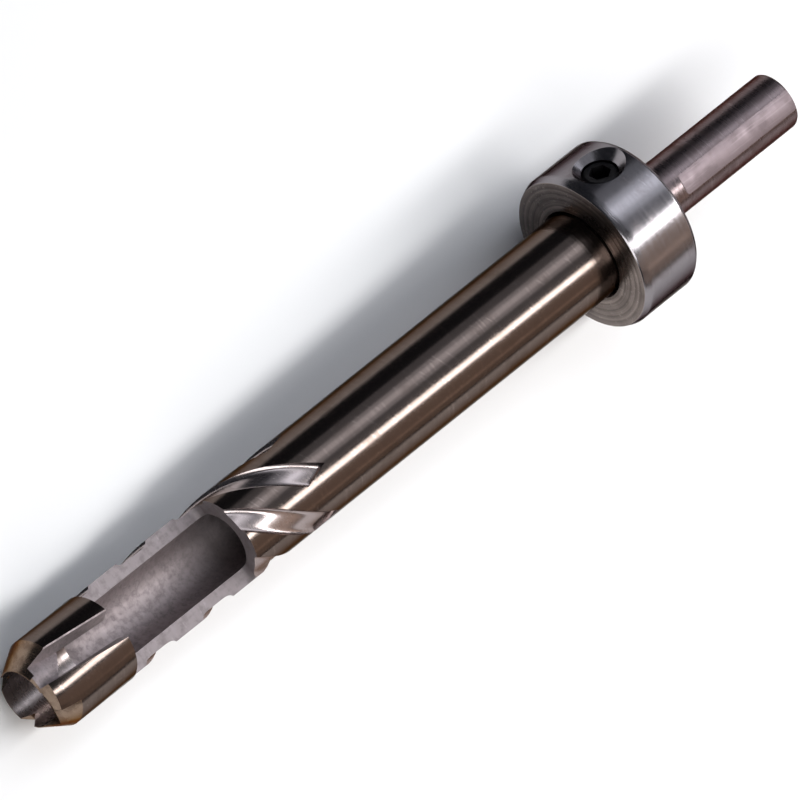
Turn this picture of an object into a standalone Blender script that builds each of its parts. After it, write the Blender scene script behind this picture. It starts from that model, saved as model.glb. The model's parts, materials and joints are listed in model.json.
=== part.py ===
"""Plug cutter: a hollow four-tooth cutter with an ejection window, a depth-stop collar and its set screw.

The tool is drawn along its own axis, from the cutting edge at x = 0 to the end of the shank.
Angles run round that axis, from the side that the window faces towards -Y.
It is then laid down as it comes to rest: on its head and on the rim of its collar.
"""
import math

import bmesh
import bpy
import numpy as np
from mathutils import Matrix, Vector

# Sizes in metres, angles in degrees
SEGMENTS = 90              # facets round each turned surface

BARREL_RADIUS = 0.0047625  # 3/8 in barrel
BARREL_END = 0.0879        # shoulder between barrel and shank
BARREL_CHAMFER = 0.0004
HEAD_RADIUS = 0.0050       # cutting head, a little larger so that the barrel clears the cut
HEAD_LENGTH = 0.0106
HEAD_STEP = 0.0003

BORE_RADIUS = 0.003175     # 1/4 in plug
BORE_DEPTH = 0.0335
DRILL_POINT = 118.0        # angle of the drill that made the bore
BEVEL_LENGTH = 0.0029      # ground bevel from the cutting edge out to the head
EDGE_LAND = 0.00008        # flat left on the cutting edge

SHANK_RADIUS = 0.003125
TOOL_LENGTH = 0.1077
SHANK_CHAMFER = 0.0004
FLAT_COUNT = 3
FLAT_START = 0.0920
FLAT_DEPTH = 0.00021
FLAT_PHASE = 17.6
FLAT_RUNOUT = 0.0005       # radius that the milling cutter leaves where a flat begins

WINDOW_LENGTH = 0.0173     # half of the tube is milled away behind the head
WINDOW_FLOOR = 0.00008     # height of the milled faces above the axis
WINDOW_CORNER = 0.0010

TOOTH_COUNT = 4
NOTCH_PHASE = 59.0
NOTCH_DEPTH = 0.0012
NOTCH_FACE = 0.00045       # reach of the steep cutting face of a notch
NOTCH_RELIEF = 0.00110     # reach of its sloping back

GULLET_PHASE = -14.0       # middle of the gullet in front of the window, at the cutting edge
GULLET_WIDTH = 46.0
GULLET_HEEL = 9.0          # how much the heel side of a gullet leans back
GULLET_TWIST = 1130.0      # degrees for each metre
GULLET_WALL = 0.00030      # wall left between a gullet and the bore
GULLET_RUNOUT = 0.0016
THROAT_START = 0.0046      # from here the gullet under the window opens into the bore
THROAT_DEPTH = 0.0012

FLUTE_COUNT = 5
FLUTE_PHASE = -23.4        # middle of one flute, at FLUTE_DATUM
FLUTE_DATUM = 0.0346
FLUTE_LEAD = 0.0404        # right-hand, one turn
FLUTE_WIDTH = 38.0
FLUTE_DEPTH = 0.00045
FLUTE_END = 0.0381

COLLAR_FRONT = 0.0795
COLLAR_WIDTH = 0.0075
COLLAR_RADIUS = 0.00865
COLLAR_FRONT_CHAMFER = (0.0008, 0.0003)   # along the axis, across it
COLLAR_BACK_CHAMFER = (0.0004, 0.0003)
COLLAR_BORE_CHAMFER = 0.0003
FIT_GAP = 0.0002           # clearance between pieces that touch

SCREW_PHASE = -35.8
SCREW_FROM_FRONT = 0.0036
SCREW_RADIUS = 0.0018      # 4 mm thread, drawn at its pitch diameter
SCREW_LENGTH = 0.0028
SCREW_POINT = 0.0005
SOCKET_ACROSS_FLATS = 0.0020
SOCKET_DEPTH = 0.0015
COUNTERSINK_RADIUS = 0.0026
COUNTERSINK_DEPTH = 0.00075

ROLL = 0.0                 # turn about the tool's axis at rest: the window, its light side, lies uppermost
BEYOND = 0.002             # how far cutters reach past what they cut


def clear_scene():
    for item in list(bpy.data.objects):
        bpy.data.objects.remove(item, do_unlink=True)


def make_material(name, color, metallic, roughness):
    material = bpy.data.materials.new(name)
    material.use_nodes = True
    shader = material.node_tree.nodes["Principled BSDF"]
    shader.inputs["Base Color"].default_value = (*color, 1.0)
    shader.inputs["Metallic"].default_value = metallic
    shader.inputs["Roughness"].default_value = roughness
    return material


def tool_steel():
    return make_material("tool_steel", (0.42, 0.38, 0.37), 1.0, 0.25)


def zinc_plate():
    return make_material("zinc_plate", (0.62, 0.64, 0.67), 1.0, 0.28)


def black_oxide():
    return make_material("black_oxide", (0.03, 0.03, 0.032), 0.8, 0.45)


def link_object(name, bm, material=None):
    bmesh.ops.recalc_face_normals(bm, faces=bm.faces)
    mesh = bpy.data.meshes.new(name)
    bm.to_mesh(mesh)
    bm.free()
    item = bpy.data.objects.new(name, mesh)
    bpy.context.scene.collection.objects.link(item)
    if material:
        mesh.materials.append(material)
    return item


def around(radius, degrees, x=0.0):
    """The point at an angle round the tool's axis."""
    turn = math.radians(degrees)
    return Vector((x, -radius * math.sin(turn), radius * math.cos(turn)))


def turned(name, profile, material=None, segments=SEGMENTS):
    """Turns a closed profile of (x, radius) points about the X axis; radius 0 is a point on the axis."""
    bm = bmesh.new()
    half_step = 180.0 / segments
    rings = []
    for x, radius in profile:
        if radius == 0.0:
            rings.append([bm.verts.new((x, 0.0, 0.0))])
            continue
        angles = [half_step + 360.0 * index / segments for index in range(segments)]
        rings.append([bm.verts.new(around(radius, angle, x)) for angle in angles])
    closed = len(rings[0]) > 1
    pairs = zip(rings, rings[1:] + rings[:1]) if closed else zip(rings, rings[1:])
    for first, second in pairs:
        bridge(bm, first, second)
    return link_object(name, bm, material)


def bridge(bm, first, second):
    """Joins two rings of points, either of which may be a single point."""
    count = max(len(first), len(second))
    for index in range(count):
        after = (index + 1) % count
        if len(first) == 1:
            bm.faces.new((first[0], second[index], second[after]))
        elif len(second) == 1:
            bm.faces.new((first[index], second[0], first[after]))
        else:
            bm.faces.new((first[index], second[index], second[after], first[after]))


def lofted(name, sections):
    """A closed solid through sections that have equally many points."""
    bm = bmesh.new()
    rings = [[bm.verts.new(point) for point in section] for section in sections]
    for first, second in zip(rings, rings[1:]):
        bridge(bm, first, second)
    bm.faces.new(rings[0])
    bm.faces.new(rings[-1])
    bmesh.ops.triangulate(bm, faces=bm.faces)
    return link_object(name, bm)


def extruded(name, outline, half_width):
    """A prism across the tool: an outline of (x, z) points, extruded both ways along Y."""
    near = [Vector((x, -half_width, z)) for x, z in outline]
    far = [Vector((x, half_width, z)) for x, z in outline]
    return lofted(name, [near, far])


def corner_arc(centre, radius, start, end, steps=6):
    """Points of an arc in the XZ plane, between two angles from +X towards +Z."""
    points = []
    for step in range(steps + 1):
        turn = math.radians(start + (end - start) * step / steps)
        points.append((centre[0] + radius * math.cos(turn), centre[1] + radius * math.sin(turn)))
    return points


def cut(target, cutter):
    """Takes the cutter out of the target and keeps the cutter as a hidden guide."""
    cutter.hide_render = True
    cutter.display_type = "WIRE"
    modifier = target.modifiers.new(cutter.name, "BOOLEAN")
    modifier.operation = "DIFFERENCE"
    modifier.solver = "EXACT"
    modifier.object = cutter


def turn_about_axis(item, degrees):
    """Turns a cutter round the tool's axis, in the direction that angles are counted."""
    item.matrix_world = Matrix.Rotation(math.radians(degrees), 4, "X")


def cutter_blank(material):
    """The turned and bored blank, before any milling."""
    point_length = BORE_RADIUS / math.tan(math.radians(DRILL_POINT / 2))
    profile = [
        (BORE_DEPTH + point_length, 0.0),
        (BORE_DEPTH, BORE_RADIUS),
        (0.0, BORE_RADIUS),
        (0.0, BORE_RADIUS + EDGE_LAND),
        (BEVEL_LENGTH, HEAD_RADIUS),
        (HEAD_LENGTH - HEAD_STEP, HEAD_RADIUS),
        (HEAD_LENGTH, BARREL_RADIUS),
        (BARREL_END - BARREL_CHAMFER, BARREL_RADIUS),
        (BARREL_END, BARREL_RADIUS - BARREL_CHAMFER),
        (BARREL_END, SHANK_RADIUS),
        (TOOL_LENGTH - SHANK_CHAMFER, SHANK_RADIUS),
        (TOOL_LENGTH, SHANK_RADIUS - SHANK_CHAMFER),
        (TOOL_LENGTH, 0.0),
    ]
    return turned("cutter", profile, material)


def window_cutter():
    """Removes the upper half of the tube behind the head, with rounded inner corners."""
    start = HEAD_LENGTH
    end = HEAD_LENGTH + WINDOW_LENGTH
    top = HEAD_RADIUS + BEYOND
    low = WINDOW_FLOOR + WINDOW_CORNER
    outline = [(end, top), (start, top)]
    outline += corner_arc((start + WINDOW_CORNER, low), WINDOW_CORNER, 180.0, 270.0)
    outline += corner_arc((end - WINDOW_CORNER, low), WINDOW_CORNER, 270.0, 360.0)
    return extruded("window_cutter", outline, HEAD_RADIUS + BEYOND)


def gullet_section(x, floor_radius, phase):
    """The mouth of a gullet across the axis: a steep face on one side, a leaning heel on the other."""
    middle = phase + GULLET_TWIST * x
    half = GULLET_WIDTH / 2
    floor_steps = 4
    floor_from = middle - half + GULLET_HEEL
    floor_to = middle + half
    floor = []
    for step in range(floor_steps + 1):
        angle = floor_from + (floor_to - floor_from) * step / floor_steps
        floor.append(around(floor_radius, angle, x))
    outside = HEAD_RADIUS + BEYOND
    heel = around(outside, middle - half, x)
    face = around(outside, floor_to, x)
    crest = around(outside * 1.1, middle, x)
    return floor + [face, crest, heel]


def gullet_cutter(index):
    """One gullet: it follows the tooth back through the head and runs out behind it."""
    phase = GULLET_PHASE + 360.0 / TOOTH_COUNT * index
    floor = BORE_RADIUS + GULLET_WALL
    steps = 8
    straight_end = HEAD_LENGTH
    stations = [(-BEYOND + (straight_end + BEYOND) * step / steps, floor) for step in range(steps + 1)]
    for step in range(1, 5):
        share = step / 4
        rise = (BARREL_RADIUS + GULLET_WALL - floor) * share ** 2
        stations.append((straight_end + GULLET_RUNOUT * share, floor + rise))
    return lofted(f"gullet_cutter_{index}", [gullet_section(x, radius, phase) for x, radius in stations])


def throat_cutter():
    """Opens the gullet that faces the window down into the bore."""
    floor = BORE_RADIUS - THROAT_DEPTH
    end = HEAD_LENGTH + WINDOW_CORNER
    steps = 5
    stations = [THROAT_START + (end - THROAT_START) * step / steps for step in range(steps + 1)]
    return lofted("throat_cutter", [gullet_section(x, floor, GULLET_PHASE) for x in stations])


def notch_cutter(index):
    """One notch of the crown: a V with a steep cutting face and a sloping back."""
    above = BEYOND
    slope_face = NOTCH_FACE / NOTCH_DEPTH
    slope_back = NOTCH_RELIEF / NOTCH_DEPTH
    reach = NOTCH_DEPTH + above
    outline = [(NOTCH_DEPTH, 0.0), (-above, -slope_face * reach), (-above, slope_back * reach)]
    inner = BORE_RADIUS * 0.55
    outer = HEAD_RADIUS + BEYOND
    sections = [[Vector((x, y, radius)) for x, y in outline] for radius in (inner, outer)]
    cutter = lofted(f"notch_cutter_{index}", sections)
    turn_about_axis(cutter, NOTCH_PHASE + 360.0 / TOOTH_COUNT * index)
    return cutter


def flute_cutter(index):
    """One shallow right-hand flute, swept with a round section and ended square."""
    degrees_per_metre = 360.0 / FLUTE_LEAD
    helix = math.atan(2 * math.pi * BARREL_RADIUS / FLUTE_LEAD)
    chord = 2 * BARREL_RADIUS * math.sin(math.radians(FLUTE_WIDTH / 2)) * math.cos(helix)
    section_radius = chord ** 2 / (8 * FLUTE_DEPTH) + FLUTE_DEPTH / 2
    centre_radius = BARREL_RADIUS - FLUTE_DEPTH + section_radius
    start = HEAD_LENGTH - HEAD_STEP / 2
    step_length = 0.0009
    steps = round((FLUTE_END - start) / step_length)
    sides = 20
    sections = []
    for step in range(steps + 1):
        x = start + (FLUTE_END - start) * step / steps
        angle = FLUTE_PHASE + 360.0 / FLUTE_COUNT * index + degrees_per_metre * (x - FLUTE_DATUM)
        outward = around(1.0, angle).normalized()
        across = around(1.0, angle + 90.0).normalized()
        forward = Vector((math.cos(helix), 0.0, 0.0)) + across * math.sin(helix)
        sideways = forward.cross(outward).normalized()
        centre = around(centre_radius, angle, x)
        section = []
        for side in range(sides):
            turn = 2 * math.pi * side / sides
            section.append(centre + section_radius * (math.sin(turn) * sideways - math.cos(turn) * outward))
        sections.append(section)
    return lofted(f"flute_cutter_{index}", sections)


def flat_cutter(index):
    """One of the flats that the drill chuck grips."""
    floor = SHANK_RADIUS - FLAT_DEPTH
    top = SHANK_RADIUS + BEYOND
    end = TOOL_LENGTH + BEYOND
    outline = [(end, floor), (end, top), (FLAT_START - FLAT_RUNOUT, top)]
    outline += corner_arc((FLAT_START, floor + FLAT_RUNOUT), FLAT_RUNOUT, 180.0, 270.0)
    cutter = extruded(f"flat_cutter_{index}", outline, SHANK_RADIUS)
    turn_about_axis(cutter, FLAT_PHASE + 360.0 / FLAT_COUNT * index)
    return cutter


def make_cutter():
    """The one-piece cutter: head with its crown of teeth, barrel with window and flutes, shank with flats."""
    cutter = cutter_blank(tool_steel())
    for index in range(FLUTE_COUNT):
        cut(cutter, flute_cutter(index))
    for index in range(TOOTH_COUNT):
        cut(cutter, gullet_cutter(index))
    cut(cutter, throat_cutter())
    cut(cutter, window_cutter())
    for index in range(TOOTH_COUNT):
        cut(cutter, notch_cutter(index))
    for index in range(FLAT_COUNT):
        cut(cutter, flat_cutter(index))
    return cutter


def screw_frame(item):
    """Stands a piece that was drawn along X on the axis of the screw hole, facing outward."""
    stand = Matrix.Rotation(math.radians(-90.0), 4, "Y")
    place = Matrix.Translation((COLLAR_FRONT + SCREW_FROM_FRONT, 0.0, 0.0))
    turn = Matrix.Rotation(math.radians(SCREW_PHASE), 4, "X")
    item.matrix_world = place @ turn @ stand


def screw_hole_cutter():
    """The tapped hole through one side of the collar, with its countersink; drawn along X."""
    hole_radius = SCREW_RADIUS + FIT_GAP
    rim = math.sqrt(COLLAR_RADIUS ** 2 - COUNTERSINK_RADIUS ** 2)
    sink_from = rim - COUNTERSINK_DEPTH
    slope = (COUNTERSINK_RADIUS - hole_radius) / COUNTERSINK_DEPTH
    top = COLLAR_RADIUS + BEYOND
    profile = [
        (BARREL_RADIUS * 0.5, 0.0),
        (BARREL_RADIUS * 0.5, hole_radius),
        (sink_from, hole_radius),
        (top, hole_radius + slope * (top - sink_from)),
        (top, 0.0),
    ]
    cutter = turned("screw_hole_cutter", profile, segments=40)
    screw_frame(cutter)
    return cutter


def make_collar():
    """The depth-stop collar, a turned ring clamped on the barrel."""
    back = COLLAR_FRONT + COLLAR_WIDTH
    bore = BARREL_RADIUS + FIT_GAP
    front_along, front_across = COLLAR_FRONT_CHAMFER
    back_along, back_across = COLLAR_BACK_CHAMFER
    profile = [
        (COLLAR_FRONT + COLLAR_BORE_CHAMFER, bore),
        (COLLAR_FRONT, bore + COLLAR_BORE_CHAMFER),
        (COLLAR_FRONT, COLLAR_RADIUS - front_across),
        (COLLAR_FRONT + front_along, COLLAR_RADIUS),
        (back - back_along, COLLAR_RADIUS),
        (back, COLLAR_RADIUS - back_across),
        (back, bore + COLLAR_BORE_CHAMFER),
        (back - COLLAR_BORE_CHAMFER, bore),
    ]
    collar = turned("stop_collar", profile, zinc_plate())
    cut(collar, screw_hole_cutter())
    return collar


def socket_cutter(top):
    """The hexagonal socket of the set screw, drawn along X."""
    corner = SOCKET_ACROSS_FLATS / math.sqrt(3.0)
    profile = [
        (top - SOCKET_DEPTH, 0.0),
        (top - SOCKET_DEPTH, corner),
        (top + BEYOND, corner),
        (top + BEYOND, 0.0),
    ]
    return turned("socket_cutter", profile, segments=6)


def make_set_screw():
    """The headless screw that clamps the collar; its point bears on the barrel."""
    point = BARREL_RADIUS + FIT_GAP
    top = point + SCREW_LENGTH
    rim = SCREW_POINT / 2
    profile = [
        (point, 0.0),
        (point, SCREW_RADIUS - SCREW_POINT),
        (point + SCREW_POINT, SCREW_RADIUS),
        (top - rim, SCREW_RADIUS),
        (top, SCREW_RADIUS - rim),
        (top, 0.0),
    ]
    screw = turned("set_screw", profile, black_oxide(), segments=32)
    socket = socket_cutter(top)
    cut(screw, socket)
    screw_frame(screw)
    screw_frame(socket)
    return screw


def shade(item):
    """Smooth turned surfaces with crisp edges."""
    item.data.shade_smooth()
    item.data.set_sharp_from_angle(angle=math.radians(30.0))


def world_points(item):
    """The corners of an object's finished mesh, in world space."""
    finished = item.evaluated_get(bpy.context.evaluated_depsgraph_get())
    mesh = finished.to_mesh()
    points = np.array([tuple(finished.matrix_world @ vertex.co) for vertex in mesh.vertices])
    finished.to_mesh_clear()
    return points


def rest_slope(head_points, collar_points):
    """Slope of the ground line that touches the head and the collar from below, in the XZ plane."""
    slope = 0.0
    for _ in range(6):
        head = head_points[np.argmin(head_points[:, 2] - slope * head_points[:, 0])]
        rim = collar_points[np.argmin(collar_points[:, 2] - slope * collar_points[:, 0])]
        slope = (rim[2] - head[2]) / (rim[0] - head[0])
    return slope


def lay_down(pieces):
    """Rolls and tilts the tool onto the ground, with the middle of its footprint at the origin."""
    rest = bpy.data.objects.new("rest", None)
    bpy.context.scene.collection.objects.link(rest)
    for item in list(bpy.data.objects):
        if item != rest:
            item.parent = rest
    roll = Matrix.Rotation(math.radians(ROLL), 4, "X")
    rest.matrix_world = roll
    bpy.context.view_layer.update()
    cutter_points, collar_points = (world_points(item) for item in pieces[:2])
    slope = rest_slope(cutter_points[cutter_points[:, 0] < HEAD_LENGTH], collar_points)
    tilt = Matrix.Rotation(math.atan(slope), 4, "Y")
    rest.matrix_world = tilt @ roll
    bpy.context.view_layer.update()
    points = np.vstack([world_points(item) for item in pieces])
    low, high = points.min(axis=0), points.max(axis=0)
    foot = Vector(((low[0] + high[0]) / 2, (low[1] + high[1]) / 2, low[2]))
    rest.matrix_world = Matrix.Translation(-foot) @ tilt @ roll


def main():
    clear_scene()
    pieces = [make_cutter(), make_collar(), make_set_screw()]
    for item in pieces:
        shade(item)
    lay_down(pieces)


main()
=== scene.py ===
"""Plug cutter: the dressed model of a hollow wood plug cutter with its stop collar and set screw.

Pieces are modelled along the tool's own axis, from the cutting edge at x = 0 to the end of the shank.
Angles run round that axis, from the side that the window faces towards -Y.
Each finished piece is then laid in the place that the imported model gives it.
"""
import math

import json

import bmesh
import bpy
from bpy.props import FloatProperty, FloatVectorProperty, IntProperty, PointerProperty
from mathutils import Matrix, Vector


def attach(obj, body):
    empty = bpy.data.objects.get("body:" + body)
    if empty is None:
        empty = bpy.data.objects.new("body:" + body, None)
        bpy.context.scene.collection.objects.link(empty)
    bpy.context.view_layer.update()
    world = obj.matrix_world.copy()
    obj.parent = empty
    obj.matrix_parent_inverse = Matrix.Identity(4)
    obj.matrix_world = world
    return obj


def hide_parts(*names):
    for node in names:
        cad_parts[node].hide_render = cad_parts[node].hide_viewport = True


bl_info = {
    "name": "Plug Cutter",
    "version": (1, 0, 0),
    "blender": (4, 5, 0),
    "location": "View3D > Sidebar > Plug Cutter",
    "description": "Models a hollow plug cutter, its stop collar and its set screw",
    "category": "Object",
}

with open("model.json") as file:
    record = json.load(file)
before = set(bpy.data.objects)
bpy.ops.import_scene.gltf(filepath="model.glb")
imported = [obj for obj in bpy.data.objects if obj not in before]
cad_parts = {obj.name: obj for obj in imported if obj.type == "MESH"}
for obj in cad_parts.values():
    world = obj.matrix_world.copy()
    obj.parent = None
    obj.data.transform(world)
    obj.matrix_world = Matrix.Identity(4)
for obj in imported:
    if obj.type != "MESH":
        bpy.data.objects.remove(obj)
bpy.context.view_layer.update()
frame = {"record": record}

# Where the tool lies at rest
TIP = (-0.053774, 0.0, 0.004737)
STOP_FACE = next(mount for mount in frame["record"]["mounts"] if mount["name"] == "stop_face")
TILT = math.atan2(-STOP_FACE["axis"][2], -STOP_FACE["axis"][0])
REST = Matrix.Translation(TIP) @ Matrix.Rotation(-TILT, 4, "Y")

BEYOND = 0.002             # how far cutters reach past what they cut
SIDES = 180                # facets round the turned surfaces
MERGE = 1e-7               # points nearer than this are one
SMOOTH_ANGLE = 30.0        # edges sharper than this stay crisp


def choose(piece):
    """Makes one piece the only one selected."""
    bpy.ops.object.select_all(action="DESELECT")
    piece.select_set(True)
    bpy.context.view_layer.objects.active = piece


def open_piece(piece):
    """Opens a piece for editing, with nothing selected in it."""
    choose(piece)
    bpy.ops.object.mode_set(mode="EDIT")
    bpy.ops.mesh.select_mode(type="VERT")
    bpy.ops.mesh.select_all(action="DESELECT")


def close_piece():
    bpy.ops.object.mode_set(mode="OBJECT")


def pick(piece, wanted):
    """Selects the vertices of an open piece whose place passes a test, and nothing else."""
    bpy.ops.mesh.select_all(action="DESELECT")
    bm = bmesh.from_edit_mesh(piece.data)
    for vertex in bm.verts:
        vertex.select = wanted(vertex.co)
    bm.select_flush_mode()
    bmesh.update_edit_mesh(piece.data)


def name_piece(name, material=None):
    """Names the primitive that was just added and settles its place in its mesh."""
    piece = bpy.context.object
    piece.name = name
    piece.data.name = name
    bpy.ops.object.transform_apply(location=True, rotation=True, scale=True)
    if material:
        piece.data.materials.append(material)
    return piece


def weld(piece):
    """Merges doubled vertices and turns all faces outwards."""
    open_piece(piece)
    bpy.ops.mesh.select_all(action="SELECT")
    bpy.ops.mesh.remove_doubles(threshold=MERGE)
    bpy.ops.mesh.normals_make_consistent(inside=False)
    close_piece()


def turned(name, profile, material, sides=SIDES):
    """Turns (x, radius) points about the tool's axis: one ring, extruded and scaled from point to point."""
    capped_from = profile[0] if profile[0][1] == 0.0 else None
    points = profile[1:] if capped_from else profile
    x, radius = points[0]
    bpy.ops.object.select_all(action="DESELECT")
    bpy.ops.mesh.primitive_circle_add(
        vertices=sides, radius=radius, location=(x, 0.0, 0.0), rotation=(0.0, math.pi / 2, 0.0))
    piece = name_piece(name, material)
    open_piece(piece)
    bpy.ops.mesh.select_all(action="SELECT")
    if capped_from:
        bpy.ops.mesh.extrude_region_move(TRANSFORM_OT_translate={"value": (capped_from[0] - x, 0.0, 0.0)})
        bpy.ops.mesh.merge(type="CENTER")
        pick(piece, lambda place: place.yz.length > radius / 2)
    for next_x, next_radius in points[1:]:
        bpy.ops.mesh.extrude_region_move(TRANSFORM_OT_translate={"value": (next_x - x, 0.0, 0.0)})
        if next_radius == 0.0:
            bpy.ops.mesh.merge(type="CENTER")
            break
        share = next_radius / radius
        bpy.ops.transform.resize(value=(1.0, share, share), center_override=(next_x, 0.0, 0.0))
        x, radius = next_x, next_radius
    close_piece()
    weld(piece)
    return piece


def subtract(piece, tool):
    """Cuts a tool out of a piece; the cut faces take the tool's material."""
    choose(piece)
    modifier = piece.modifiers.new(tool.name, "BOOLEAN")
    modifier.operation = "DIFFERENCE"
    modifier.solver = "EXACT"
    modifier.material_mode = "TRANSFER"
    modifier.object = tool
    name = tool.name
    bpy.ops.object.modifier_apply(modifier=modifier.name)
    bpy.data.objects.remove(tool, do_unlink=True)
    if not piece.data.polygons:
        raise RuntimeError(f"nothing is left after {name}")


def settle(piece, matrix):
    """Puts a piece in a place and takes that place up in its mesh."""
    choose(piece)
    piece.matrix_world = matrix
    bpy.ops.object.transform_apply(location=True, rotation=True, scale=True)


def turn_round_axis(piece, degrees):
    settle(piece, Matrix.Rotation(math.radians(degrees), 4, "X"))


def dress(piece, material, wanted):
    """Gives a finish to the faces whose middle and direction pass a test."""
    names = [slot.name for slot in piece.data.materials]
    if material.name not in names:
        piece.data.materials.append(material)
        names.append(material.name)
    slot = names.index(material.name)
    for face in piece.data.polygons:
        if wanted(face.center, face.normal):
            face.material_index = slot


def lay_in_place(piece):
    """Smooths the turned surfaces, keeps the edges crisp, and lays the piece where it rests."""
    weld(piece)
    choose(piece)
    bpy.ops.object.shade_smooth_by_angle(angle=math.radians(SMOOTH_ANGLE))
    settle(piece, REST)


def around(radius, degrees, x=0.0):
    """The point at an angle round the tool's axis."""
    turn = math.radians(degrees)
    return Vector((x, -radius * math.sin(turn), radius * math.cos(turn)))


def angle_of(place):
    """The angle of a point round the tool's axis."""
    return math.degrees(math.atan2(-place.y, place.z))


def spaced(start, end, steps):
    """Evenly spaced values from start to end."""
    return [start + (end - start) * step / steps for step in range(steps + 1)]


def rounded(corner, before, behind, steps):
    """Profile points of a small rounded corner, from its reach before and behind the sharp one."""
    return [tuple(c + b * (1 - share) ** 2 + e * share ** 2 for c, b, e in zip(corner, before, behind))
            for share in spaced(0.0, 1.0, steps)]


def link(tree, source, target):
    tree.links.new(source, target)


def math_node(tree, operation, first, second=None):
    """A Math node; each input is a socket or a number."""
    node = tree.nodes.new("ShaderNodeMath")
    node.operation = operation
    for index, value in enumerate((first, second)):
        if value is None:
            continue
        if isinstance(value, (int, float)):
            node.inputs[index].default_value = value
        else:
            link(tree, value, node.inputs[index])
    return node.outputs[0]


def tool_coordinates(tree):
    """Places measured along and round the tool's own axis, in metres."""
    place = tree.nodes.new("ShaderNodeTexCoord")
    mapping = tree.nodes.new("ShaderNodeMapping")
    mapping.vector_type = "TEXTURE"
    mapping.inputs["Location"].default_value = TIP
    mapping.inputs["Rotation"].default_value = (0.0, -TILT, 0.0)
    link(tree, place.outputs["Object"], mapping.inputs["Vector"])
    split = tree.nodes.new("ShaderNodeSeparateXYZ")
    link(tree, mapping.outputs["Vector"], split.inputs[0])
    return mapping.outputs["Vector"], split.outputs


def noise(tree, dimensions, scale, detail, roughness=0.5):
    """A Noise texture; its scale is a socket or a number."""
    node = tree.nodes.new("ShaderNodeTexNoise")
    node.noise_dimensions = dimensions
    if isinstance(scale, (int, float)):
        node.inputs["Scale"].default_value = scale
    else:
        link(tree, scale, node.inputs["Scale"])
    node.inputs["Detail"].default_value = detail
    node.inputs["Roughness"].default_value = roughness
    return node


def new_group(name, inputs):
    """A shader node group with number inputs and one mask output."""
    tree = bpy.data.node_groups.new(name, "ShaderNodeTree")
    for label, value in inputs:
        socket = tree.interface.new_socket(name=label, in_out="INPUT", socket_type="NodeSocketFloat")
        socket.default_value = value
    tree.interface.new_socket(name="Mask", in_out="OUTPUT", socket_type="NodeSocketFloat")
    entry = tree.nodes.new("NodeGroupInput")
    leave = tree.nodes.new("NodeGroupOutput")
    return tree, entry.outputs, leave.inputs["Mask"]


def along_axis(tree, x, y, z):
    return x


def off_axis(tree, x, y, z):
    """The distance from the tool's axis."""
    squares = math_node(tree, "ADD", math_node(tree, "MULTIPLY", y, y), math_node(tree, "MULTIPLY", z, z))
    return math_node(tree, "SQRT", squares)


def marks_group(name, measure, detail, cloud_scale):
    """Fine irregular lines, spaced by a measure of the place and shifted a little from patch to patch."""
    tree, given, mask = new_group(name, [("Lines per Metre", 5000.0), ("Unevenness", 0.3)])
    place, axes = tool_coordinates(tree)
    fine = noise(tree, "1D", given["Lines per Metre"], detail, 0.6)
    link(tree, measure(tree, *axes), fine.inputs["W"])
    cloud = noise(tree, "3D", cloud_scale, 1.0)
    link(tree, place, cloud.inputs["Vector"])
    uneven = math_node(tree, "MULTIPLY", cloud.outputs[0], given["Unevenness"])
    link(tree, math_node(tree, "ADD", fine.outputs[0], uneven), mask)
    return tree


def ground_lines_group():
    """Lines round the tool, as a grinding wheel or a lathe leaves them."""
    return marks_group("ground_lines", along_axis, 3.0, 700.0)


def face_rings_group():
    """Rings about the tool's axis, as a facing cut leaves them."""
    return marks_group("face_rings", off_axis, 2.0, 500.0)


def fade(tree, value, given, interpolation="LINEAR"):
    """Rises from 0 to 1 between a group's From and To."""
    node = tree.nodes.new("ShaderNodeMapRange")
    node.interpolation_type = interpolation
    link(tree, value, node.inputs["Value"])
    link(tree, given["From"], node.inputs["From Min"])
    link(tree, given["To"], node.inputs["From Max"])
    return node.outputs[0]


def blotches_group():
    """Soft patches of stain or oil film."""
    tree, given, mask = new_group("blotches", [("Scale", 300.0), ("From", 0.45), ("To", 0.65)])
    place, _ = tool_coordinates(tree)
    cloud = noise(tree, "3D", given["Scale"], 5.0, 0.62)
    link(tree, place, cloud.inputs["Vector"])
    link(tree, fade(tree, cloud.outputs[0], given, "SMOOTHSTEP"), mask)
    return tree


def scratches_group():
    """Sparse long scratches, stretched along the tool or across it."""
    tree, given, mask = new_group(
        "scratches", [("Along", 300.0), ("Across", 5000.0), ("Turn", 0.0), ("From", 0.66), ("To", 0.74)])
    place, _ = tool_coordinates(tree)
    turn = tree.nodes.new("ShaderNodeVectorRotate")
    turn.rotation_type = "Z_AXIS"
    link(tree, place, turn.inputs["Vector"])
    link(tree, given["Turn"], turn.inputs["Angle"])
    stretch = tree.nodes.new("ShaderNodeVectorMath")
    stretch.operation = "MULTIPLY"
    sizes = tree.nodes.new("ShaderNodeCombineXYZ")
    link(tree, given["Along"], sizes.inputs[0])
    link(tree, given["Across"], sizes.inputs[1])
    link(tree, given["Across"], sizes.inputs[2])
    link(tree, turn.outputs[0], stretch.inputs[0])
    link(tree, sizes.outputs[0], stretch.inputs[1])
    streaks = noise(tree, "3D", 1.0, 1.0)
    link(tree, stretch.outputs[0], streaks.inputs["Vector"])
    link(tree, fade(tree, streaks.outputs[0], given), mask)
    return tree


GROUP_MAKERS = {
    "ground_lines": ground_lines_group,
    "face_rings": face_rings_group,
    "blotches": blotches_group,
    "scratches": scratches_group,
}


def group_node(tree, name, values):
    """Places a node group, made once, with a material's own values."""
    node = tree.nodes.new("ShaderNodeGroup")
    node.node_tree = bpy.data.node_groups.get(name) or GROUP_MAKERS[name]()
    for label, value in values.items():
        node.inputs[label].default_value = value
    return node.outputs["Mask"]


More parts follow.
